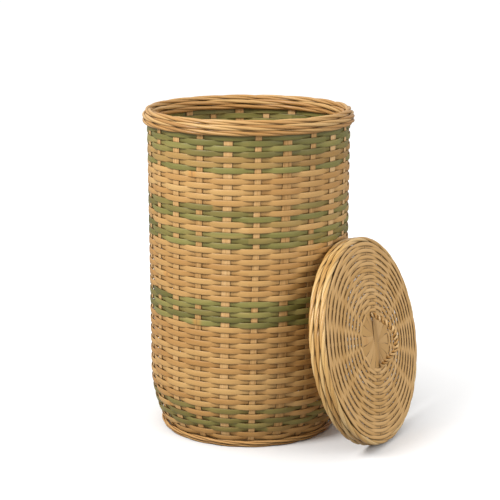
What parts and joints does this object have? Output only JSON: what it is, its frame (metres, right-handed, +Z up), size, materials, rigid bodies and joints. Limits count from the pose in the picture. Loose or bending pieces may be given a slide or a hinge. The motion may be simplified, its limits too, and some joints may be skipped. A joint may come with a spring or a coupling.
{
  "type": "woven laundry basket",
  "caption": "Tall round laundry basket woven from flat bamboo strips round upright stakes, with a coiled rim and foot and a loose domed lid with a cane arch handle, leaning on its side.",
  "frame": {"origin": "middle of the foot, on the floor", "axes": "+Z up the basket's axis, -Y out of its front; the lid leans on the wall 62.9 degrees round from -Y towards +X"},
  "size_m": [0.5594, 0.5138, 0.65],
  "materials": {
    "stake_bamboo": "satin",
    "green_strip": "satin",
    "striped_strip": "satin",
    "natural_strip": "satin",
    "rim_cane": "satin",
    "foot_cane": "satin",
    "base_bamboo": "matte",
    "lid_band_cane": "gloss",
    "lid_spoke_bamboo": "satin",
    "lid_strip": "satin",
    "handle_cane": "satin"
  },
  "bodies": {
    "basket": {"base_spokes": "base_bamboo", "base_weave": "base_bamboo", "foot_coil_lower": "foot_cane", "foot_coil_upper": "foot_cane", "foot_hoop": "foot_cane", "narrow_stake_01": "stake_bamboo", "narrow_stake_02": "stake_bamboo", "narrow_stake_03": "stake_bamboo", "narrow_stake_04": "stake_bamboo", "narrow_stake_05": "stake_bamboo", "narrow_stake_06": "stake_bamboo", "narrow_stake_07": "stake_bamboo", "narrow_stake_08": "stake_bamboo", "narrow_stake_09": "stake_bamboo", "narrow_stake_10": "stake_bamboo", "narrow_stake_11": "stake_bamboo", "rim_inner_coil_lower": "rim_cane", "rim_inner_coil_upper": "rim_cane", "rim_outer_coil_lower": "rim_cane", "rim_outer_coil_upper": "rim_cane", "rim_top_coil": "rim_cane", "weave_green_foot": "green_strip", "weave_green_lower": "green_strip", "weave_green_middle": "green_strip", "weave_green_neck": "green_strip", "weave_green_single": "green_strip", "weave_green_top": "green_strip", "weave_mixed_upper": "striped_strip", "weave_natural_foot": "natural_strip", "weave_natural_foot_single": "natural_strip", "weave_natural_lower": "natural_strip", "weave_natural_middle": "natural_strip", "weave_natural_single": "natural_strip", "weave_natural_upper": "natural_strip", "weave_striped_middle": "striped_strip", "wide_stake_01": "stake_bamboo", "wide_stake_02": "stake_bamboo", "wide_stake_03": "stake_bamboo", "wide_stake_04": "stake_bamboo", "wide_stake_05": "stake_bamboo", "wide_stake_06": "stake_bamboo", "wide_stake_07": "stake_bamboo", "wide_stake_08": "stake_bamboo", "wide_stake_09": "stake_bamboo", "wide_stake_10": "stake_bamboo", "wide_stake_11": "stake_bamboo"},
    "lid": {"lid_band_coil_lower": "lid_band_cane", "lid_band_coil_middle": "lid_band_cane", "lid_band_coil_upper": "lid_band_cane", "lid_handle": "handle_cane", "lid_inner_hoop": "lid_band_cane", "lid_spokes": "lid_spoke_bamboo", "lid_weave_inner": "lid_strip", "lid_weave_outer": "lid_strip"}
  },
  "joints": [
    {"name": "lid_lift_away", "type": "slide", "parent": "basket", "child": "lid", "axis": [0.853, -0.4787, 0.2079], "range_m": [0, 0.3]}
  ]
}
